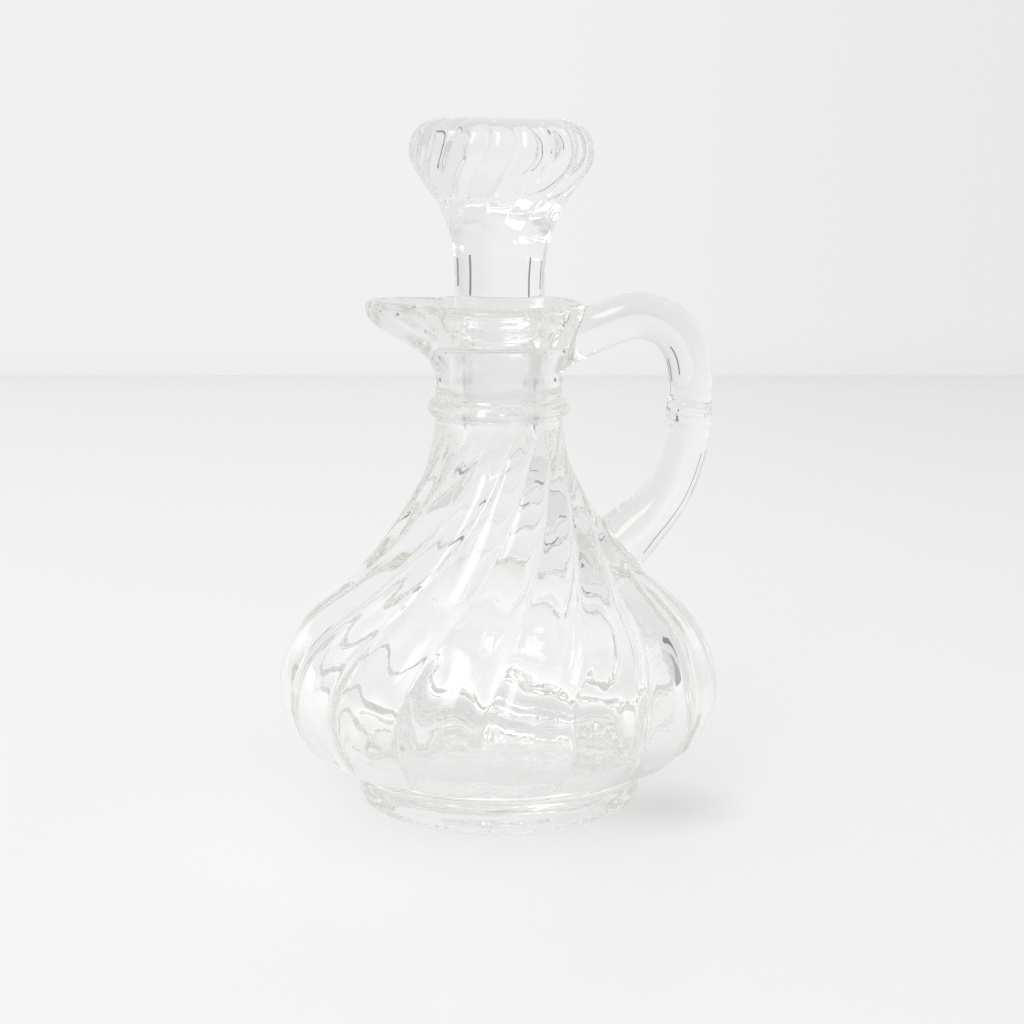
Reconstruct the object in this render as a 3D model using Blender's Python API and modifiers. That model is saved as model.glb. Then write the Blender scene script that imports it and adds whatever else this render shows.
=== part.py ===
# A clear pressed-glass cruet: a swirl-ribbed bottle with its handle fused on, and a loose stopper.
# Sizes are in millimetres and become metres when a mesh is made. +Z is up, the spout points to -X
# and the handle to +X. The origin is the centre of the foot, on the surface that the foot rests on.

import math

import bmesh
import bpy
from mathutils import Vector

MM = 0.001

# The bottle.
RIM_HEIGHT = 112.0
RIM_RADIUS = 17.4
LIP_RADIUS = 19.0
NECK_RADIUS = 14.1
NECK_FOOT = 84.0
NECK_TOP = 96.5
COLLAR_RADIUS = 15.8
COLLAR_LOW = 87.2
COLLAR_HIGH = 90.8
BELLY_RADIUS = 49.9
BELLY_HEIGHT = 27.0
FOOT_RADIUS = 32.0
FOOT_HEIGHT = 10.0
FOOT_CONTACT_INNER = 26.5
FOOT_CONTACT_OUTER = 30.6
RECESS_RADIUS = 24.0
RECESS_HEIGHT = 3.0

# Its hollow.
BORE_RADIUS = 7.4
LEDGE_HEIGHT = 103.4
LEDGE_RADIUS = 11.4
FLOOR_HEIGHT = 8.8
CAVITY_RADIUS = 45.4

# The swirl: rounded ribs that meet in grooves, upright on the low belly and turning further up.
RIBS = 16
GROOVE_SHARE = 0.026
SWIRL_FIRST_GROOVE = math.radians(-93.4)
SWIRL_START = 28.0
SWIRL_RATE = math.radians(0.0778)
SWIRL_POWER = 1.668
PATTERN_LOW = 10.4
PATTERN_HIGH = 86.0
PATTERN_FADE = 8.0

# The spout, drawn out of the lip.
SPOUT_PULL = 10.3
SPOUT_RISE = 0.6
SPOUT_HALF_ANGLE = math.radians(43.0)
SPOUT_OUTSIDE = (98.5, 108.5)
SPOUT_INSIDE = (104.5, 111.5)

# The handle, a round rod of glass, and the mould seam that rings it.
HANDLE_RADIUS = 5.1
HANDLE_REACH = 42.4
SEAM_RADIUS = 5.4
SEAM_HEIGHT = 88.1
SEAM_THICKNESS = 3.4

# The stopper.
STOPPER_LOW = 86.6
STOPPER_TOP = 151.8
PLUG_RADIUS = 6.75
PLUG_TAPER = 0.15
STEM_RADIUS = 10.0
STEM_TOP = 121.0
HEAD_RADIUS = 20.2
HEAD_HEIGHT = 144.0
HEAD_GROOVE_SHARE = 0.055
HEAD_TURN = math.radians(38.0)
HEAD_FIRST_GROOVE = math.radians(-70.0)
HEAD_TURN_LOW = 124.0
HEAD_TURN_HIGH = 147.0
STOPPER_LEAN = math.radians(1.0)
GAP = 0.4

# How finely the solids are cut: columns round a turned shape, and the roundness of a rod.
COLUMNS = 64
CAVITY_COLUMNS = 32
ROD_ROUNDNESS = 3


def smooth_step(value, low, high):
    """0 below low, 1 above high, and an S between."""
    share = min(max((value - low) / (high - low), 0.0), 1.0)
    return share * share * (3.0 - 2.0 * share)


def curve_through(points, cuts):
    """The points, with cuts more on a smooth curve between each two."""
    ends = [points[0], *points, points[-1]]
    made = []
    for before, start, end, after in zip(ends, ends[1:], ends[2:], ends[3:]):
        for cut in range(cuts + 1):
            t = cut / (cuts + 1)
            made.append(
                tuple(
                    b + 0.5 * t * (c - a + t * (2 * a - 5 * b + 4 * c - d + t * (3 * (b - c) + d - a)))
                    for a, b, c, d in zip(before, start, end, after)
                )
            )
    made.append(points[-1])
    return made


def rounded_edge(centre, radius, start, end, steps):
    """Points of an arc, with its angles in degrees."""
    angles = [math.radians(start + (end - start) * step / steps) for step in range(steps + 1)]
    return [(centre[0] + radius * math.cos(a), centre[1] + radius * math.sin(a)) for a in angles]


def new_object(name, mesh, collection):
    made = bpy.data.objects.new(name, mesh)
    collection.objects.link(made)
    return made


def new_collection(name):
    made = bpy.data.collections.new(name)
    bpy.context.scene.collection.children.link(made)
    return made


def evaluated_mesh(source, name):
    """The object's mesh with its modifiers applied and its doubles merged. The object is removed."""
    bpy.context.view_layer.update()
    evaluated = source.evaluated_get(bpy.context.evaluated_depsgraph_get())
    mesh = bpy.data.meshes.new_from_object(evaluated)
    mesh.transform(source.matrix_world)
    mesh.name = name
    data = source.data
    bpy.data.objects.remove(source)
    if isinstance(data, bpy.types.Curve):
        bpy.data.curves.remove(data)
    work = bmesh.new()
    work.from_mesh(mesh)
    bmesh.ops.remove_doubles(work, verts=work.verts, dist=0.001 * MM)
    bmesh.ops.recalc_face_normals(work, faces=work.faces)
    work.to_mesh(mesh)
    work.free()
    return mesh


def turned_mesh(name, profile, columns, collection):
    """A closed solid turned from (radius, height) points that run from the top of the axis down."""
    mesh = bpy.data.meshes.new(name)
    points = [(radius * MM, 0.0, height * MM) for radius, height in profile]
    mesh.from_pydata(points, [(i, i + 1) for i in range(len(points) - 1)], [])
    turned = new_object(name, mesh, collection)
    screw = turned.modifiers.new("Turn", "SCREW")
    screw.axis = "Z"
    screw.steps = columns
    screw.render_steps = columns
    screw.use_merge_vertices = True
    screw.merge_threshold = 0.00001
    return evaluated_mesh(turned, name)


def reshape(mesh, rule):
    """Moves each vertex by a rule from (radius, angle, height) to (radius, angle, height)."""
    for vertex in mesh.vertices:
        x, y, z = (value / MM for value in vertex.co)
        radius, angle, height = rule(math.hypot(x, y), math.atan2(y, x), z)
        vertex.co = Vector((radius * math.cos(angle), radius * math.sin(angle), height)) * MM
    mesh.update()


def combine(target, tool, operation):
    boolean = target.modifiers.new(f"{operation.title()} {tool.name}", "BOOLEAN")
    boolean.object = tool
    boolean.operation = operation
    boolean.solver = "EXACT"
    tool.hide_render = True
    tool.display_type = "WIRE"


def glass(name, colour, roughness):
    material = bpy.data.materials.new(name)
    material.use_nodes = True
    shader = material.node_tree.nodes["Principled BSDF"]
    shader.inputs["Base Color"].default_value = (*colour, 1.0)
    shader.inputs["Roughness"].default_value = roughness
    shader.inputs["Metallic"].default_value = 0.0
    shader.inputs["Transmission Weight"].default_value = 1.0
    shader.inputs["IOR"].default_value = 1.5
    return material


def finish(made, material):
    made.data.materials.clear()
    made.data.materials.append(material)
    made.data.shade_smooth()
    made.data.set_sharp_from_angle(angle=math.radians(35.0))


def rib_height(angle, ribs):
    """1 on the crest of a rib and 0 in a groove, with a groove at angle 0."""
    return abs(math.sin(0.5 * ribs * angle))


def swirl(height):
    """How far the pattern has turned at a height."""
    rise = min(max(height - SWIRL_START, 0.0), PATTERN_HIGH - SWIRL_START)
    return SWIRL_RATE * rise**SWIRL_POWER


def spout_share(angle):
    """1 at the middle of the spout, falling to 0 at its sides."""
    off = abs(math.remainder(angle - math.pi, math.tau))
    if off > SPOUT_HALF_ANGLE:
        return 0.0
    return 0.5 + 0.5 * math.cos(math.pi * off / SPOUT_HALF_ANGLE)


def press_bottle(radius, angle, height):
    """Ribs the turned bottle, turns the ribs into a swirl and draws out the spout."""
    if height > PATTERN_LOW:
        fade = 1.0 - smooth_step(height, PATTERN_HIGH - PATTERN_FADE, PATTERN_HIGH)
        radius -= GROOVE_SHARE * radius * fade * (1.0 - rib_height(angle, RIBS))
    angle += SWIRL_FIRST_GROOVE + swirl(height)
    share = spout_share(angle) * smooth_step(height, *SPOUT_OUTSIDE) * min(radius / RIM_RADIUS, 1.0)
    return radius + SPOUT_PULL * share, angle, height + SPOUT_RISE * share


def press_cavity(radius, angle, height):
    """Draws the mouth out into the spout."""
    share = spout_share(angle) * smooth_step(height, *SPOUT_INSIDE)
    return radius + SPOUT_PULL * share, angle, height


def press_stopper(radius, angle, height):
    """Ribs the stopper's head and turns the ribs."""
    depth = HEAD_GROOVE_SHARE * radius * smooth_step(height, STEM_TOP, HEAD_TURN_HIGH)
    radius -= depth * (1.0 - rib_height(angle, RIBS))
    turn = HEAD_TURN * smooth_step(height, HEAD_TURN_LOW, HEAD_TURN_HIGH)
    return radius, angle + HEAD_FIRST_GROOVE + turn, height


def bottle_profile():
    """The outside, from the middle of the mouth's plane down to the middle of the underside."""
    lip = [
        (RIM_RADIUS, RIM_HEIGHT),
        (LIP_RADIUS - 0.5, RIM_HEIGHT - 0.3),
        (LIP_RADIUS, RIM_HEIGHT - 1.4),
    ]
    flare = curve_through([(LIP_RADIUS - 0.3, 109.0), (16.6, 103.0), (NECK_RADIUS + 0.2, NECK_TOP)], 1)
    half_collar = (COLLAR_HIGH - COLLAR_LOW) / 2
    middle = (COLLAR_RADIUS - half_collar, COLLAR_LOW + half_collar)
    collar = [(NECK_RADIUS, COLLAR_HIGH + 0.2)]
    collar += rounded_edge(middle, half_collar, 60.0, -60.0, 4)
    collar += [(NECK_RADIUS, COLLAR_LOW - 0.2)]
    shoulder = curve_through(
        [
            (NECK_RADIUS + 0.1, NECK_FOOT),
            (16.3, 75.5),
            (20.6, 67.0),
            (26.2, 58.8),
            (33.4, 50.4),
            (40.8, 44.2),
            (46.4, 37.4),
            (BELLY_RADIUS, BELLY_HEIGHT),
            (47.0, 17.4),
            (42.6, 12.4),
            (36.8, FOOT_HEIGHT + 0.8),
        ],
        1,
    )
    foot = [
        (FOOT_RADIUS + 0.6, FOOT_HEIGHT),
        (FOOT_RADIUS, FOOT_HEIGHT - 1.2),
        (FOOT_RADIUS - 0.2, 1.6),
        (FOOT_RADIUS - 0.6, 0.5),
        (FOOT_CONTACT_OUTER, 0.0),
        (FOOT_CONTACT_INNER, 0.0),
        (RECESS_RADIUS, RECESS_HEIGHT - 0.6),
        (RECESS_RADIUS - 2.0, RECESS_HEIGHT),
    ]
    return [(0.0, RIM_HEIGHT), *lip, *flare, *collar, *shoulder, *foot, (0.0, RECESS_HEIGHT)]


def cavity_profile():
    """The hollow, from above the rim down to the middle of the floor."""
    mouth = [(RIM_RADIUS + 0.4, RIM_HEIGHT + 4.0), (RIM_RADIUS - 0.2, RIM_HEIGHT), (16.2, 110.6)]
    funnel = [(13.8, 107.4), (LEDGE_RADIUS + 0.5, LEDGE_HEIGHT + 0.8), (LEDGE_RADIUS, LEDGE_HEIGHT)]
    bore = [(BORE_RADIUS, LEDGE_HEIGHT)]
    hollow = curve_through(
        [
            (BORE_RADIUS, 80.0),
            (9.4, 73.5),
            (14.0, 66.0),
            (20.6, 57.5),
            (28.4, 50.0),
            (36.6, 43.0),
            (42.2, 36.5),
            (CAVITY_RADIUS, BELLY_HEIGHT),
            (43.0, 17.6),
            (37.4, 11.4),
            (28.0, FLOOR_HEIGHT),
        ],
        0,
    )
    top = (0.0, RIM_HEIGHT + 4.0)
    return [top, *mouth, *funnel, *bore, *hollow, (0.0, FLOOR_HEIGHT)]


def stopper_profile():
    """The whole stopper, from the middle of its top down to the middle of the plug's end."""
    head = curve_through(
        [
            (13.5, STOPPER_TOP),
            (18.6, 149.4),
            (HEAD_RADIUS, HEAD_HEIGHT),
            (18.2, 139.2),
            (14.4, 134.2),
            (11.4, 127.8),
            (STEM_RADIUS, STEM_TOP),
        ],
        1,
    )
    shoulder = LEDGE_HEIGHT + GAP
    stem = [(STEM_RADIUS, shoulder + 0.6), (STEM_RADIUS - 0.6, shoulder)]
    plug = [
        (PLUG_RADIUS, shoulder),
        (PLUG_RADIUS - PLUG_TAPER, STOPPER_LOW + 1.2),
        (PLUG_RADIUS - 0.6, STOPPER_LOW + 0.3),
        (PLUG_RADIUS - 1.6, STOPPER_LOW),
    ]
    return [(0.0, STOPPER_TOP - 1.0), *head, *stem, *plug, (0.0, STOPPER_LOW)]


def handle_path():
    """The handle's middle line, from inside the lip's wall to inside the shoulder, as X, Z and girth."""
    return [
        (14.5, 104.0, 1.2),
        (21.0, 106.2, 1.03),
        (29.8, 109.0, 1.0),
        (36.6, 107.4, 1.0),
        (40.8, 102.6, 0.97),
        (HANDLE_REACH, 95.6, 0.95),
        (HANDLE_REACH, 88.0, 0.95),
        (41.6, 79.8, 0.97),
        (38.8, 71.6, 1.0),
        (34.6, 65.4, 1.1),
        (29.6, 60.2, 1.3),
        (25.6, 57.0, 1.4),
    ]


def rod(name, path, radius, collection):
    """A round rod along points of X, Z and girth, as a closed mesh object."""
    curve = bpy.data.curves.new(name, "CURVE")
    curve.dimensions = "3D"
    curve.bevel_depth = radius * MM
    curve.bevel_resolution = ROD_ROUNDNESS
    curve.use_fill_caps = True
    spline = curve.splines.new("POLY")
    spline.points.add(len(path) - 1)
    for point, (x, z, girth) in zip(spline.points, path):
        point.co = (x * MM, 0.0, z * MM, 1.0)
        point.radius = girth
    drawn = new_object(name, curve, collection)
    return new_object(name, evaluated_mesh(drawn, name), collection)


def seam_path():
    """A short upright length of the handle's path, about the seam's height."""
    half = SEAM_THICKNESS / 2
    return [(HANDLE_REACH, SEAM_HEIGHT + half, 1.0), (HANDLE_REACH, SEAM_HEIGHT - half, 1.0)]


def make_bottle(collection, cutters):
    mesh = turned_mesh("carafe", bottle_profile(), COLUMNS, collection)
    reshape(mesh, press_bottle)
    bottle = new_object("carafe", mesh, collection)
    handle = rod("handle_rod", curve_through(handle_path(), 1), HANDLE_RADIUS, cutters)
    seam = rod("handle_seam", seam_path(), SEAM_RADIUS, cutters)
    cavity_mesh = turned_mesh("cavity", cavity_profile(), CAVITY_COLUMNS, cutters)
    reshape(cavity_mesh, press_cavity)
    cavity = new_object("cavity", cavity_mesh, cutters)
    combine(bottle, handle, "UNION")
    combine(bottle, seam, "UNION")
    combine(bottle, cavity, "DIFFERENCE")
    finish(bottle, glass("bottle glass", (0.95, 0.97, 0.95), 0.02))


def make_stopper(collection):
    mesh = turned_mesh("stopper", stopper_profile(), COLUMNS, collection)
    reshape(mesh, press_stopper)
    stopper = new_object("stopper", mesh, collection)
    pivot = bpy.data.objects.new("stopper_seat", None)
    collection.objects.link(pivot)
    pivot.location = (0.0, 0.0, LEDGE_HEIGHT * MM)
    pivot.rotation_euler = (0.0, STOPPER_LEAN, 0.0)
    stopper.parent = pivot
    stopper.location = (0.0, 0.0, -LEDGE_HEIGHT * MM)
    finish(stopper, glass("stopper glass", (0.96, 0.97, 0.96), 0.03))


def main():
    for old in list(bpy.data.objects):
        bpy.data.objects.remove(old)
    cruet = new_collection("Glass cruet")
    cutters = new_collection("Cutters")
    make_bottle(cruet, cutters)
    make_stopper(cruet)


main()
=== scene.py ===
import math

import bmesh
import bpy
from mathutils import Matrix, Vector, noise
from mathutils.kdtree import KDTree


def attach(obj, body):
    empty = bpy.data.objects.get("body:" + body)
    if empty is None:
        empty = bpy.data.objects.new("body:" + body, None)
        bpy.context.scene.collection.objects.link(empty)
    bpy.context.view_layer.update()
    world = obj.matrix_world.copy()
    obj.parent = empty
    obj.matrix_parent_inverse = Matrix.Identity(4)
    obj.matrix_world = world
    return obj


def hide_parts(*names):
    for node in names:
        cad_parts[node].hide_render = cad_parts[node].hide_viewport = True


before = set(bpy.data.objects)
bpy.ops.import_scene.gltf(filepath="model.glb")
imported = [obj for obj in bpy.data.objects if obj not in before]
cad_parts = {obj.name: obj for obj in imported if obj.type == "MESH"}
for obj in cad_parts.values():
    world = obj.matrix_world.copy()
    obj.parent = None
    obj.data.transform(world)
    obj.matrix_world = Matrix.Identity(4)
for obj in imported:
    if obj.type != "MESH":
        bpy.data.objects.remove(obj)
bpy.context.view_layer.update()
print("frame loaded:", sorted(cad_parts))

mm = 0.001
mergeGap = 0.002 * mm  # points closer than this are one
rimGap = 0.01 * mm  # the same where the hollow meets the outside at the rim
scene = bpy.context.scene


def clearSelection():
    if bpy.context.object and bpy.context.object.mode != "OBJECT":
        bpy.ops.object.mode_set(mode="OBJECT")
    bpy.ops.object.select_all(action="DESELECT")


def pickObject(made):
    clearSelection()
    made.select_set(True)
    bpy.context.view_layer.objects.active = made


def easeIn(value, low, high):
    share = min(max((value - low) / (high - low), 0.0), 1.0)
    return share * share * (3 - 2 * share)


def curveThrough(points, cuts, rounds=0):
    # Catmull-Rom through the few points given, with so many cuts between each two,
    # then eased in rounds so that light runs along it unbroken
    ends = [points[0], *points, points[-1]]
    line = []
    for before, start, end, after in zip(ends, ends[1:], ends[2:], ends[3:]):
        for cut in range(cuts + 1):
            t = cut / (cuts + 1)  # the share of the way from start to end
            line.append(tuple(
                b + 0.5 * t * (c - a + t * (2 * a - 5 * b + 4 * c - d + t * (3 * (b - c) + d - a)))
                for a, b, c, d in zip(before, start, end, after)
            ))
    line.append(points[-1])
    for _ in range(rounds):
        eased = [
            tuple((a + 2 * b + c) / 4 for a, b, c in zip(before, point, after))
            for before, point, after in zip(line, line[1:], line[2:])
        ]
        line = [line[0], *eased, line[-1]]
    return line


def spinOutline(name, outline, columns):
    # one vertex, extruded along the outline (radius, height in mm) and spun round Z
    clearSelection()
    bpy.ops.mesh.primitive_plane_add(size=mm, location=(outline[0][0] * mm, 0, outline[0][1] * mm))
    made = bpy.context.object
    made.name = name
    bpy.ops.object.transform_apply(location=True)
    bpy.ops.object.mode_set(mode="EDIT")
    bpy.ops.mesh.select_all(action="SELECT")
    bpy.ops.mesh.merge(type="CENTER")
    for (radius, height), (nextRadius, nextHeight) in zip(outline, outline[1:]):
        step = ((nextRadius - radius) * mm, 0, (nextHeight - height) * mm)
        bpy.ops.mesh.extrude_region_move(TRANSFORM_OT_translate={"value": step})
    bpy.ops.mesh.select_all(action="SELECT")
    bpy.ops.mesh.spin(steps=columns, angle=math.tau, center=(0, 0, 0), axis=(0, 0, 1))
    bpy.ops.mesh.select_all(action="SELECT")
    bpy.ops.mesh.remove_doubles(threshold=mergeGap)
    bpy.ops.mesh.normals_make_consistent(inside=False)
    bpy.ops.object.mode_set(mode="OBJECT")
    return made


def applyModifier(made, kind, **settings):
    modifier = made.modifiers.new(kind.title(), kind)
    for name, value in settings.items():
        setattr(modifier, name, value)
    pickObject(made)
    bpy.ops.object.modifier_apply(modifier=modifier.name)


# the bottle: outside and hollow are spun apart, pressed, and joined at the rim
bottle = {
    "columns": 288,
    "ribs": 16,
    "gather": 0.7,  # how far the columns crowd towards the grooves
    "grooveShare": 0.040,  # depth of a groove over the radius
    "grooveRound": 0.07,  # rounds the bottom of a groove
    "ribPower": 3.0,  # a rib is broad and gently domed between narrow grooves
    "firstGroove": math.radians(-93.4),
    "swirlStart": 28.0,
    "swirlRate": math.radians(0.0778),
    "swirlPower": 1.668,
    "patternTop": 86.0,
    "patternFade": 8.0,
    "bellyStart": 20.0,  # below this the grooves fade out towards the foot
    "footRadius": 32.4,
    "underBelly": 37.0,
    "rimRadius": 17.3,
    "spoutPull": 10.3,
    "spoutRise": 0.6,
    "spoutHalf": math.radians(43),
    "spoutOutside": (98.5, 108.5),
    "spoutInside": (104.5, 111.5),
    "innerRibShare": 0.020,  # the hollow follows the ribs a little, out from the neck
    "innerRibsFrom": (14, 34),
    "innerRound": 0.35,
    "innerPower": 2,
    "innerWave": 0.15,  # mm, the uneven wall that pressing leaves
    "innerWaveSize": 11.0,
    "innerWaveFrom": (8, 20),
    "innerStill": (106, 110),  # from here up to the rim the hollow keeps to its outline
    "floorWave": 0.06,
    "floorWaveSize": 3.2,
    "floorTop": (10, 20),
    "stippleHeight": 0.22,  # ridges under the foot ring
    "stippleRidges": 72,
    "stippleBelow": 0.5,
    "stippleFrom": 26.0,
}

footOutline = curveThrough([(0, 3.4), (9, 3.3), (19, 2.9), (22.6, 2.4), (25.0, 1.1), (26.6, 0.2)], 4)
footOutline += curveThrough([(27.4, 0.02), (30.0, 0.02), (31.1, 0.35), (31.75, 1.2), (32.0, 2.6)], 3)
footOutline += curveThrough([(32.0, 5.0), (32.0, 7.4), (32.3, 8.9), (33.6, 10.1), (36.8, 10.8)], 4, 3)
bellyOutline = curveThrough(
    [
        (36.8, 10.8), (42.6, 12.4), (47.0, 17.4), (49.9, 27.0), (46.4, 37.4), (40.8, 44.2),
        (33.4, 50.4), (26.2, 58.8), (20.6, 67.0), (16.3, 75.5), (14.25, 84.0),
    ],
    8, 6,
)
neckOutline = curveThrough(
    [(14.1, 86.2), (14.3, 87.0), (15.3, 87.6), (15.8, 89.0), (15.3, 90.4), (14.3, 91.0)], 3,
)
neckOutline += curveThrough(
    [(14.1, 91.9), (14.25, 96.5), (16.6, 103.0), (18.6, 108.6), (19.0, 110.4)], 6,
)
neckOutline += curveThrough([(18.9, 111.2), (18.3, 111.9), (bottle["rimRadius"], 112.15)], 3)
outsideOutline = footOutline + bellyOutline[1:] + neckOutline
mouthOutline = curveThrough([(bottle["rimRadius"], 112.15), (16.6, 111.7), (16.0, 110.4)], 3)
mouthOutline += curveThrough([(13.75, 107.4), (12.2, 104.8), (11.5, 103.65), (10.9, 103.35)], 3)
mouthOutline += curveThrough([(8.1, 103.3), (7.55, 103.05), (7.4, 102.4)], 2)
hollowOutline = curveThrough(
    [
        (7.4, 98.0), (7.4, 90.0), (7.45, 80.0), (9.4, 73.5), (14.0, 66.0), (20.6, 57.5), (28.4, 50.0),
        (36.6, 43.0), (42.2, 36.5), (45.4, 27.0), (43.0, 18.2), (37.0, 12.6), (28.0, 9.9), (16.0, 9.0),
        (6.0, 8.8), (0, 8.8),
    ],
    5, 10,
)
insideOutline = mouthOutline + hollowOutline


def grooveDepth(angle, ribs, ease, power):
    # 1 at the rounded bottom of the groove at angle 0, falling to 0 on the crest of a rib
    away = abs(math.remainder(angle, math.tau / ribs)) * ribs / math.pi
    return (1 - (math.hypot(away, ease) - ease) / (math.hypot(1, ease) - ease)) ** power


def swirlAt(height):
    rise = min(max(height - bottle["swirlStart"], 0), bottle["patternTop"] - bottle["swirlStart"])
    return bottle["swirlRate"] * rise ** bottle["swirlPower"]


def spoutShare(angle):
    off = abs(math.remainder(angle - math.pi, math.tau)) / bottle["spoutHalf"]
    return 0.5 + 0.5 * math.cos(math.pi * min(off, 1))


def gathered(angle):
    return angle - bottle["gather"] / bottle["ribs"] * math.sin(bottle["ribs"] * angle)


def pressOutside(radius, angle, height):
    angle = gathered(angle)
    share = 1.0
    if height < bottle["bellyStart"]:
        share = easeIn(radius, bottle["footRadius"], bottle["underBelly"])
    share *= 1 - easeIn(height, bottle["patternTop"] - bottle["patternFade"], bottle["patternTop"])
    radius -= bottle["grooveShare"] * radius * share * grooveDepth(
        angle, bottle["ribs"], bottle["grooveRound"], bottle["ribPower"]
    )
    if height < bottle["stippleBelow"] and radius > bottle["stippleFrom"]:
        height += bottle["stippleHeight"] * (0.5 + 0.5 * math.cos(bottle["stippleRidges"] * angle))
    angle += bottle["firstGroove"] + swirlAt(height)
    pull = spoutShare(angle) * easeIn(height, *bottle["spoutOutside"])
    pull *= min(radius / bottle["rimRadius"], 1)
    return radius + bottle["spoutPull"] * pull, angle, height + bottle["spoutRise"] * pull


def waveAt(radius, angle, height, size):
    return noise.noise(Vector((radius * math.cos(angle), radius * math.sin(angle), height)) / size)


def pressInside(radius, angle, height):
    # its columns meet the outside's at the rim, and the ribs show through as a gentle swell
    angle = gathered(angle) + bottle["firstGroove"] + swirlAt(bottle["patternTop"])
    loose = 1 - easeIn(height, *bottle["innerStill"])
    swell = loose * easeIn(radius, *bottle["innerRibsFrom"]) * grooveDepth(
        angle - bottle["firstGroove"] - swirlAt(height),
        bottle["ribs"], bottle["innerRound"], bottle["innerPower"],
    )
    radius -= bottle["innerRibShare"] * radius * swell
    uneven = loose * bottle["innerWave"] * easeIn(radius, *bottle["innerWaveFrom"])
    uneven *= waveAt(radius, angle, height, bottle["innerWaveSize"])
    low = 1 - easeIn(height, *bottle["floorTop"])
    ripple = bottle["floorWave"] * low * waveAt(radius, angle, height, bottle["floorWaveSize"])
    pull = spoutShare(angle) * easeIn(height, *bottle["spoutInside"])
    radius += bottle["spoutPull"] * pull + uneven * (1 - low)
    return radius, angle, height + bottle["spoutRise"] * pull + uneven * low + ripple


def pressMesh(made, rule):
    for vertex in made.data.vertices:
        x, y, z = (value / mm for value in vertex.co)
        radius, angle, height = rule(math.hypot(x, y), math.atan2(y, x), z)
        vertex.co = Vector((radius * math.cos(angle), radius * math.sin(angle), height)) * mm
    made.data.update()


outside = spinOutline("carafeGlass", outsideOutline, bottle["columns"])
pressMesh(outside, pressOutside)
inside = spinOutline("hollow", insideOutline, bottle["columns"])
pressMesh(inside, pressInside)
pickObject(outside)
inside.select_set(True)
bpy.ops.object.join()
bpy.ops.object.mode_set(mode="EDIT")
bpy.ops.mesh.select_all(action="SELECT")
bpy.ops.mesh.remove_doubles(threshold=rimGap)
bpy.ops.mesh.normals_make_consistent(inside=False)
bpy.ops.object.mode_set(mode="OBJECT")
print("bottle spun and pressed:", len(outside.data.polygons), "faces")


# the handle: a rod pulled along its path, fused on
handle = {
    "sides": 48,
    "radius": 5.1,
    "path": [  # x, z, girth
        (14.3, 104.0, 1.2), (21.0, 106.2, 1.03), (29.8, 109.0, 1.0), (36.6, 107.4, 1.0),
        (40.8, 102.6, 0.97), (42.4, 95.6, 0.95), (42.4, 88.0, 0.95), (41.6, 79.8, 0.97),
        (38.8, 71.6, 1.0), (34.6, 65.4, 1.1), (29.6, 60.2, 1.3), (25.2, 56.2, 1.4),
    ],
    "pathCuts": 5,
    "endSlant": math.radians(-27),  # the first end lies along the lip's wall
    "seamAt": 88.1,
    "seamHalf": 1.8,
    "seamProud": 0.34,
    "seamShift": -0.26,
    "seamClear": 1.5,  # how far the path's own rings keep from the seam, over its half width
    "seamBeyond": 35.0,  # the seam is on the part of the path farther out than this
    "seamBand": [  # height over the half width, and how proud it stands there
        (1.3, 0), (1.1, 0.08), (0.95, 0.45), (0.8, 0.85), (0.62, 1), (0.42, 0.8), (0.2, 0.66),
    ],
}


def handleRings():
    # the path's points, with rings of the seam's band set in where it stands proud
    path = curveThrough(handle["path"], handle["pathCuts"])
    rings = [(x, z, girth * handle["radius"]) for x, z, girth in path]
    middle, half = handle["seamAt"], handle["seamHalf"]
    clear = handle["seamClear"] * half
    onSeam = [
        ring for ring in rings
        if abs(ring[1] - middle) < clear and ring[0] > handle["seamBeyond"]
    ]
    first = rings.index(onSeam[0])
    x = sum(ring[0] for ring in onSeam) / len(onSeam)
    rod = onSeam[0][2]
    band = []
    for share, rise in handle["seamBand"]:
        band.append((x + handle["seamShift"] * rise, share, rod + handle["seamProud"] * rise))
    band = [(x, middle + share * half, radius) for x, share, radius in band] + [
        (x, middle - share * half, radius) for x, share, radius in reversed(band)
    ]
    return rings[:first] + band + rings[first + len(onSeam):]


def pullRod(name, rings, sides, startSlant):
    # a filled circle, extruded and turned from ring to ring in the XZ plane
    heads = [
        math.atan2(after[1] - before[1], after[0] - before[0])
        for before, after in zip(rings, rings[1:])
    ]
    turns = [heads[0]] + [(a + b) / 2 for a, b in zip(heads, heads[1:])] + [heads[-1]]
    turns[0] += startSlant
    clearSelection()
    x, z, radius = rings[0]
    bpy.ops.mesh.primitive_circle_add(
        vertices=sides, radius=radius * mm, fill_type="NGON",
        location=(x * mm, 0, z * mm), rotation=(0, math.pi / 2 - turns[0], 0),
    )
    made = bpy.context.object
    made.name = name
    bpy.ops.object.transform_apply(location=True, rotation=True)
    bpy.ops.object.mode_set(mode="EDIT")
    bpy.ops.mesh.select_all(action="SELECT")
    steps = zip(rings, rings[1:], turns, turns[1:])
    for (x, z, radius), (nextX, nextZ, nextRadius), turn, nextTurn in steps:
        centre = (nextX * mm, 0, nextZ * mm)
        step = ((nextX - x) * mm, 0, (nextZ - z) * mm)
        bpy.ops.mesh.extrude_region_move(TRANSFORM_OT_translate={"value": step})
        bpy.ops.transform.rotate(value=nextTurn - turn, orient_axis="Y", center_override=centre)
        share = nextRadius / radius
        bpy.ops.transform.resize(value=(share, share, share), center_override=centre)
    bpy.ops.mesh.select_all(action="SELECT")
    bpy.ops.mesh.normals_make_consistent(inside=False)
    bpy.ops.object.mode_set(mode="OBJECT")
    return made


rod = pullRod("handleRod", handleRings(), handle["sides"], handle["endSlant"])
print("handle pulled:", len(rod.data.polygons), "faces")

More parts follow.
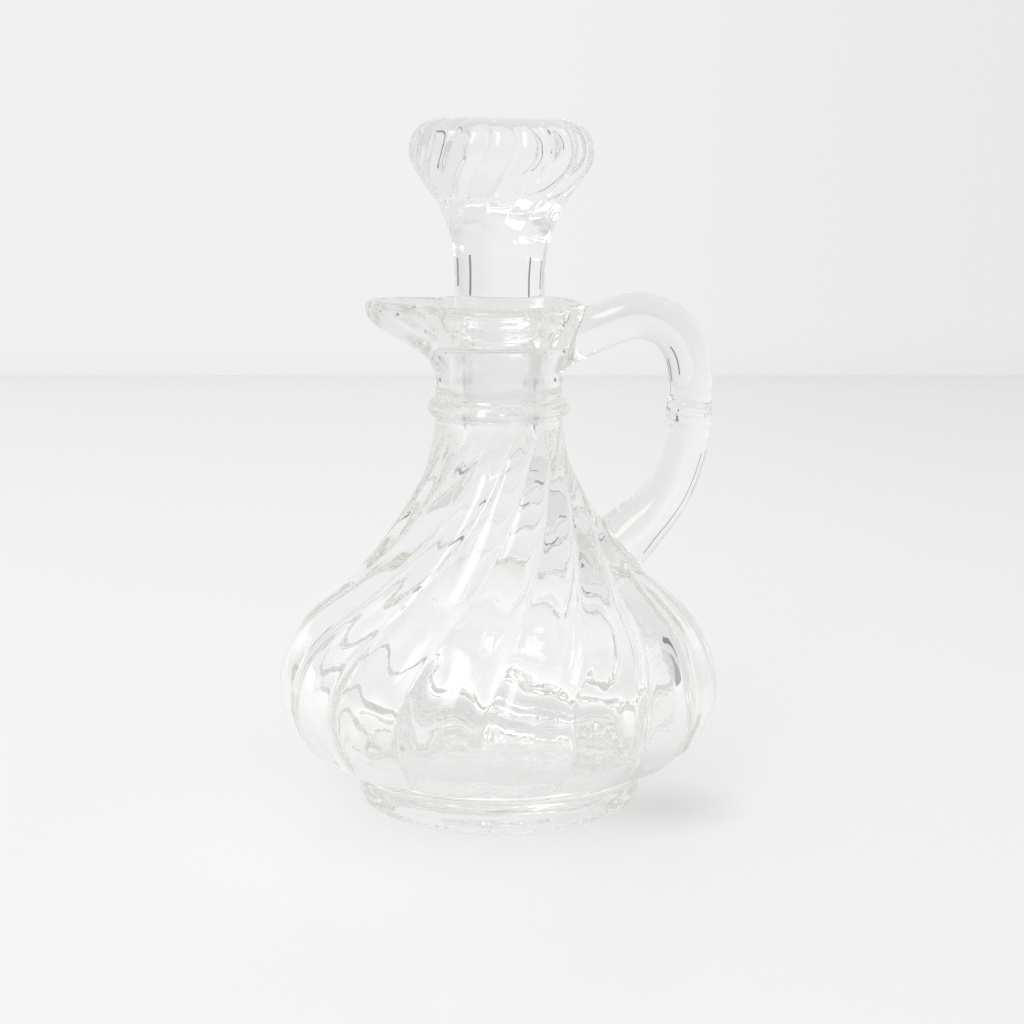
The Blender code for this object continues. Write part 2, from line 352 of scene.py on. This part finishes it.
applyModifier(outside, "BOOLEAN", object=rod, operation="UNION", solver="EXACT")
bpy.data.objects.remove(rod)

joins = {
    "places": [  # middle, size
        (Vector((17, 0, 105)) * mm, 10 * mm), (Vector((30, 0, 60)) * mm, 12 * mm),
    ],
    "sharp": math.radians(28),
    "reach": 1.6 * mm,
    "easing": 0.5,
    "rounds": 10,
}


def dropSpares(made):
    # the union leaves a few vertices in the middle of an edge, which would fold it
    work = bmesh.from_edit_mesh(made.data)
    for vertex in work.verts:
        vertex.select = len(vertex.link_edges) == 2
    spares = sum(vertex.select for vertex in work.verts)
    work.select_flush(True)
    bmesh.update_edit_mesh(made.data)
    if spares:
        bpy.ops.mesh.dissolve_verts()
    print("spare vertices dropped:", spares)


def selectJoins(made, places, reach):
    # vertices within reach of the sharp line where the rod meets the bottle, near each place
    work = bmesh.from_edit_mesh(made.data)
    sharp = [
        edge.verts[0].co.copy()
        for edge in work.edges
        if len(edge.link_faces) == 2
        and edge.calc_face_angle() > joins["sharp"]
        and any((edge.verts[0].co - place).length < size for place, size in places)
    ]
    tree = KDTree(len(sharp))
    for index, point in enumerate(sharp):
        tree.insert(point, index)
    tree.balance()
    for face in work.faces:
        face.select = False
    for vertex in work.verts:
        near = any((vertex.co - place).length < size for place, size in places)
        vertex.select = near and tree.find(vertex.co)[2] < reach
    work.select_flush(True)
    bmesh.update_edit_mesh(made.data)
    return len(sharp)


pickObject(outside)
bpy.ops.object.mode_set(mode="EDIT")
dropSpares(outside)
found = selectJoins(outside, joins["places"], joins["reach"])
bpy.ops.mesh.vertices_smooth(factor=joins["easing"], repeat=joins["rounds"])
bpy.ops.object.mode_set(mode="OBJECT")
print("handle fused:", found, "edges eased")


# the stopper: spun whole, with grooves that turn round its head
stopper = {
    "columns": 256,
    "ribs": 16,
    "grooveShare": 0.050,
    "grooveRound": 0.09,
    "ribPower": 2.5,
    "gather": 0.6,
    "firstGroove": math.radians(-70),
    "turn": math.radians(38),
    "turnLow": 124.0,
    "turnHigh": 147.0,
    "ribLow": 127.0,
    "stemShare": 0.12,  # what is left of the grooves down the stem
    "stemFoot": (104.5, 107),
    "ribsFrom": (3, 9),
    "lean": math.radians(1),
    "seat": 103.4,
}

stopperOutline = curveThrough(
    [
        (0, 151.0), (4, 151.05), (9.0, 151.25), (13.5, 151.8), (18.6, 149.4), (20.2, 144.0),
        (18.2, 139.2), (14.4, 134.2), (11.4, 127.8), (10.05, 121.0), (9.95, 113.0), (9.9, 105.6),
    ],
    9, 8,
)
stopperOutline += curveThrough([(9.85, 104.9), (9.6, 104.3), (9.0, 104.0), (7.2, 103.9)], 2)
stopperOutline += curveThrough(
    [(6.8, 103.2), (6.7, 95.0), (6.62, 88.4), (6.3, 87.2), (5.4, 86.65), (3.5, 86.6)], 6,
)
stopperOutline += [(0, 86.6)]


def pressStopper(radius, angle, height):
    angle -= stopper["gather"] / stopper["ribs"] * math.sin(stopper["ribs"] * angle)
    depth = grooveDepth(angle, stopper["ribs"], stopper["grooveRound"], stopper["ribPower"])
    full = easeIn(height, stopper["ribLow"], stopper["turnHigh"])
    share = stopper["stemShare"] + (1 - stopper["stemShare"]) * full
    share *= easeIn(radius, *stopper["ribsFrom"]) * easeIn(height, *stopper["stemFoot"])
    radius -= stopper["grooveShare"] * radius * share * depth
    turn = stopper["turn"] * easeIn(height, stopper["turnLow"], stopper["turnHigh"])
    return radius, angle + stopper["firstGroove"] + turn, height


plug = spinOutline("stopperGlass", stopperOutline, stopper["columns"])
pressMesh(plug, pressStopper)
seat, lean = stopper["seat"] * mm, stopper["lean"]
for vertex in plug.data.vertices:  # it sits a touch askew in the mouth
    rise = vertex.co.z - seat
    vertex.co.x, vertex.co.z = (
        vertex.co.x * math.cos(lean) + rise * math.sin(lean),
        seat - vertex.co.x * math.sin(lean) + rise * math.cos(lean),
    )
print("stopper spun and pressed:", len(plug.data.polygons), "faces")

for made in (outside, plug):
    pickObject(made)
    bpy.ops.object.shade_smooth()


def ramp(nodes, links, source, fromLow, fromHigh, toLow, toHigh):
    node = nodes.new("ShaderNodeMapRange")
    node.interpolation_type = "SMOOTHSTEP"
    ends = {"From Min": fromLow, "From Max": fromHigh, "To Min": toLow, "To Max": toHigh}
    for name, value in ends.items():
        node.inputs[name].default_value = value
    links.new(source, node.inputs["Value"])
    return node.outputs["Result"]


def combine(nodes, links, operation, *values):
    node = nodes.new("ShaderNodeMath")
    node.operation = operation
    for socket, value in zip(node.inputs, values):
        if isinstance(value, (int, float)):
            socket.default_value = value
        else:
            links.new(value, socket)
    return node.outputs[0]


bottleLook = {
    "ior": 1.5,
    "tint": (0.80, 0.833, 0.745),  # faint green where it is thick
    "density": 5.6,
    "waves": [(9, 0.10), (2.5, 0.008)],  # size and height in mm of the faint unevenness
    "waveDetail": 2,
    "groundLow": 87.6,  # the bore is ground dull between these heights, out to this radius
    "groundHigh": 103.2,
    "groundReach": 8.4,
    "groundEdge": 0.4,
    "groundRoughness": 0.2,
}

stopperLook = {
    "ior": 1.5,
    "tint": (0.83, 0.85, 0.78),
    "density": 2.5,
    "waves": [(6, 0.05), (2.0, 0.006)],
    "waveDetail": 2,
    "groundLow": 86.0,  # the plug is ground finer than the bore
    "groundHigh": 104.6,
    "groundReach": 10.5,
    "groundEdge": 0.4,
    "groundRoughness": 0.06,
}


def glassMaterial(name, look):
    material = bpy.data.materials.new(name)
    material.use_nodes = True
    nodes, links = material.node_tree.nodes, material.node_tree.links
    shader = nodes["Principled BSDF"]
    shader.inputs["Base Color"].default_value = (1, 1, 1, 1)
    shader.inputs["IOR"].default_value = look["ior"]
    shader.inputs["Transmission Weight"].default_value = 1
    place = nodes.new("ShaderNodeTexCoord").outputs["Object"]
    split = nodes.new("ShaderNodeSeparateXYZ")
    links.new(place, split.inputs[0])
    x, y, z = split.outputs
    square = combine(nodes, links, "MULTIPLY_ADD", x, x, combine(nodes, links, "MULTIPLY", y, y))
    radius = combine(nodes, links, "SQRT", square)
    low, high = look["groundLow"] * mm, look["groundHigh"] * mm
    reach, edge = look["groundReach"] * mm, look["groundEdge"] * mm
    dull = combine(
        nodes, links, "MULTIPLY",
        ramp(nodes, links, z, low - edge, low + edge, 0, look["groundRoughness"]),
        ramp(nodes, links, z, high - edge, high + edge, 1, 0),
    )
    within = ramp(nodes, links, radius, reach, reach + edge, 1, 0)
    dull = combine(nodes, links, "MULTIPLY", dull, within)
    links.new(dull, shader.inputs["Roughness"])
    normal = None
    for size, height in look["waves"]:
        wave = nodes.new("ShaderNodeTexNoise")
        wave.inputs["Scale"].default_value = 1 / (size * mm)
        wave.inputs["Detail"].default_value = look["waveDetail"]
        links.new(place, wave.inputs["Vector"])
        bump = nodes.new("ShaderNodeBump")
        bump.inputs["Strength"].default_value = 1
        bump.inputs["Distance"].default_value = height * mm
        links.new(wave.outputs["Fac"], bump.inputs["Height"])
        if normal:
            links.new(normal, bump.inputs["Normal"])
        normal = bump.outputs["Normal"]
    links.new(normal, shader.inputs["Normal"])
    absorb = nodes.new("ShaderNodeVolumeAbsorption")
    absorb.inputs["Color"].default_value = (*look["tint"], 1)
    absorb.inputs["Density"].default_value = look["density"]
    links.new(absorb.outputs[0], nodes["Material Output"].inputs["Volume"])
    return material


outside.data.materials.clear()
outside.data.materials.append(glassMaterial("bottleGlass", bottleLook))
plug.data.materials.clear()
plug.data.materials.append(glassMaterial("stopperGlass", stopperLook))
print("glass on both")

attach(outside, "root")
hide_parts("carafe")
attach(plug, "root")
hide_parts("stopper")


# table, backdrop, light and camera
studio = {
    "tableBack": 0.749,
    "tableDepth": 3.0,
    "tableWidth": 3.0,
    "tableDrop": 0.0002,
    "backdropAt": 1.6,
    "backdropSize": (6, 4),
    "backdropMiddle": 0.6,
    "rightWall": 0.7,  # brightness of the room
    "leftWall": 0.68,
    "ceiling": 0.82,
    "behindCamera": 0.7,
    "sideToSide": (-0.7, 0.7),  # where one brightness runs over into the next
    "rearToSides": (-0.97, -0.5),
    "wallsToCeiling": (0.35, 0.8),
    "lampLeft": -0.63,  # the soft lamp at the front left; its sides lean over
    "lampRight": -0.39,
    "lampLean": -0.27,
    "lampLow": math.radians(26),
    "lampHigh": math.radians(64),
    "lampSoft": 0.05,
    "lampBright": 4.0,
}

tableLook = {
    "colour": (0.22, 0.22, 0.219),
    # the table glows though it is no lamp: painted light
    "glow": 1.19,
    "roughness": 0.12,
    "ior": 1.2,
    # painted shade: darker to the right, at the far left, at the far front and at the back edge
    "shades": [  # axis, from, to, first and last brightness
        ("X", -0.1, 0.4, 1, 0.91), ("X", -1.2, -0.4, 0.8, 1),
        ("Y", -1.4, -0.5, 0.5, 1), ("Y", 0.68, studio["tableBack"], 1, 0.95),
    ],
    # painted light: the glow falls off towards the back
    "glowShades": [("Y", -0.75, 1.25, 0.68, 0.23)],
    # x, y, the distances between which a spot fades, and the light it adds or takes: a painted pool of
    # light before the foot and a painted shadow at its right
    "paintedLightAndShadow": [(-0.03, -0.03, 0.015, 0.075, 0.035), (0.038, -0.012, 0, 0.022, -0.11)],
}

backdropLook = {
    "colour": (0.1, 0.1, 0.101),
    # the backdrop glows though it is no lamp: painted light
    "glow": 0.805,
    "roughness": 0.9,
    "ior": 1.2,
    # painted shade: darker to the right and towards its foot
    "shades": [("X", -0.1, 0.6, 1, 0.93), ("X", 0.6, 2.2, 1, 0.9), ("Z", -0.3, -0.05, 0.8, 1)],
    "glowShades": [],
    "paintedLightAndShadow": [],
}


def stageMaterial(name, look):
    # a white sheet that glows though it is no lamp; its brightness ramps and spots are painted light
    # and shade
    material = bpy.data.materials.new(name)
    material.use_nodes = True
    nodes, links = material.node_tree.nodes, material.node_tree.links
    shader = nodes["Principled BSDF"]
    split = nodes.new("ShaderNodeSeparateXYZ")
    links.new(nodes.new("ShaderNodeTexCoord").outputs["Object"], split.inputs[0])
    level = 1.0
    for axis, *span in look["shades"]:
        shade = ramp(nodes, links, split.outputs[axis], *span)
        level = combine(nodes, links, "MULTIPLY", level, shade)
    tint = nodes.new("ShaderNodeMix")
    tint.data_type = "RGBA"
    tint.inputs["A"].default_value = (0, 0, 0, 1)
    tint.inputs["B"].default_value = (*look["colour"], 1)
    links.new(level, tint.inputs["Factor"])
    links.new(tint.outputs["Result"], shader.inputs["Base Color"])
    shader.inputs["Roughness"].default_value = look["roughness"]
    shader.inputs["IOR"].default_value = look["ior"]
    most = max(look["colour"])
    shader.inputs["Emission Color"].default_value = (*(value / most for value in look["colour"]), 1)
    # the glow: painted light
    bright = combine(nodes, links, "MULTIPLY", level, look["glow"])
    for axis, *span in look["glowShades"]:
        shade = ramp(nodes, links, split.outputs[axis], *span)
        bright = combine(nodes, links, "MULTIPLY", bright, shade)
    # painted pools of light and painted shadows
    for x, y, near, far, amount in look["paintedLightAndShadow"]:
        across = combine(nodes, links, "SUBTRACT", split.outputs["X"], x)
        along = combine(nodes, links, "SUBTRACT", split.outputs["Y"], y)
        alongSquare = combine(nodes, links, "MULTIPLY", along, along)
        square = combine(nodes, links, "MULTIPLY_ADD", across, across, alongSquare)
        added = ramp(nodes, links, combine(nodes, links, "SQRT", square), near, far, amount, 0)
        bright = combine(nodes, links, "ADD", bright, added)
    links.new(bright, shader.inputs["Emission Strength"])
    return material


def stagePlane(name, size, place, turn, material):
    clearSelection()
    bpy.ops.mesh.primitive_plane_add(size=1, location=place, rotation=turn)
    made = bpy.context.object
    made.name = name
    made.scale = (*size, 1)
    bpy.ops.object.transform_apply(location=True, rotation=True, scale=True)
    made.data.materials.append(material)
    return made


tableAt = (0, studio["tableBack"] - studio["tableDepth"] / 2, -studio["tableDrop"])
table = stagePlane(
    "table", (studio["tableWidth"], studio["tableDepth"]), tableAt, (0, 0, 0),
    stageMaterial("whiteTablePaintedLight", tableLook),
)
backdropAt = (0, studio["backdropAt"], studio["backdropMiddle"])
backdrop = stagePlane(
    "backdrop", studio["backdropSize"], backdropAt, (math.pi / 2, 0, 0),
    stageMaterial("whiteBackdropPaintedLight", backdropLook),
)

# dark cards round the set, seen only through the glass, give it its dark lines
cards = {
    "away": 0.5,
    "top": 0.17,
    "each": [  # azimuth from behind the bottle, width in degrees, brightness, foot
        (28, 3, 0.3, 0.06), (54, 5, 0.25, 0.065), (-28, 2.4, 0.3, 0.06), (-50, 5, 0.25, 0.075),
        (66, 8, 0.5, -0.02), (-78, 10, 0.5, -0.02),
    ],
}
for number, (azimuth, width, level, foot) in enumerate(cards["each"]):
    turn = math.radians(-azimuth)
    size = (2 * cards["away"] * math.tan(math.radians(width) / 2), cards["top"] - foot)
    place = (
        cards["away"] * math.sin(-turn), cards["away"] * math.cos(-turn), (foot + cards["top"]) / 2,
    )
    felt = bpy.data.materials.new(f"darkCard{number}")
    felt.use_nodes = True
    shader = felt.node_tree.nodes["Principled BSDF"]
    shader.inputs["Base Color"].default_value = (level, level, level, 1)
    shader.inputs["Roughness"].default_value = 1.0
    card = stagePlane(f"darkCard{number}", size, place, (math.pi / 2, 0, turn), felt)
    card.visible_camera = card.visible_glossy = False
    card.visible_diffuse = card.visible_shadow = False
print("stage set:", len(cards["each"]), "cards")

world = bpy.data.worlds.new("studio")
scene.world = world
world.use_nodes = True
nodes, links = world.node_tree.nodes, world.node_tree.links
way = nodes.new("ShaderNodeSeparateXYZ")
links.new(nodes.new("ShaderNodeTexCoord").outputs["Generated"], way.inputs[0])
wayX, wayY, wayZ = way.outputs
sides = ramp(nodes, links, wayX, *studio["sideToSide"], studio["leftWall"], studio["rightWall"])
rear = ramp(nodes, links, wayY, *studio["rearToSides"], studio["behindCamera"], 1)
upper = ramp(nodes, links, wayZ, *studio["wallsToCeiling"], 0, 1)
lower = combine(nodes, links, "SUBTRACT", 1.0, upper)
walls = combine(nodes, links, "MULTIPLY", combine(nodes, links, "MULTIPLY", sides, rear), lower)
room = combine(nodes, links, "MULTIPLY_ADD", upper, studio["ceiling"], walls)
elevation = combine(nodes, links, "ARCSINE", wayZ)
leaned = combine(nodes, links, "MULTIPLY_ADD", wayZ, studio["lampLean"], wayX)
soft = studio["lampSoft"]
lamp = combine(
    nodes, links, "MULTIPLY",
    ramp(nodes, links, leaned, studio["lampLeft"] - soft, studio["lampLeft"] + soft, 0, 1),
    ramp(nodes, links, leaned, studio["lampRight"] - soft, studio["lampRight"] + soft, 1, 0),
)
lamp = combine(nodes, links, "MULTIPLY", lamp, ramp(nodes, links, wayY, -soft, soft, 1, 0))
lamp = combine(
    nodes, links, "MULTIPLY", lamp,
    combine(
        nodes, links, "MULTIPLY",
        ramp(nodes, links, elevation, studio["lampLow"] - soft, studio["lampLow"] + soft, 0, 1),
        ramp(nodes, links, elevation, studio["lampHigh"] - soft, studio["lampHigh"] + soft, 1, 0),
    ),
)
total = combine(nodes, links, "MULTIPLY_ADD", lamp, studio["lampBright"], room)
nodes["Background"].inputs["Color"].default_value = (1, 1, 1, 1)
links.new(total, nodes["Background"].inputs["Strength"])

view = {
    "sensor": 36,
    "lens": 70.3125,
    "place": (0.00297, -0.440, 0.1523),
    "downBy": 11.22,
    "bounces": 160,  # light runs far inside the thick walls
    "glossyBounces": 64,
}
cameraData = bpy.data.cameras.new("camera")
cameraData.sensor_width = view["sensor"]
cameraData.lens = view["lens"]
camera = bpy.data.objects.new("camera", cameraData)
scene.collection.objects.link(camera)
camera.location = view["place"]
camera.rotation_euler = (math.radians(90 - view["downBy"]), 0, 0)
scene.camera = camera
scene.view_settings.view_transform = "Standard"
scene.cycles.max_bounces = view["bounces"]
scene.cycles.transmission_bounces = view["bounces"]
scene.cycles.glossy_bounces = view["glossyBounces"]
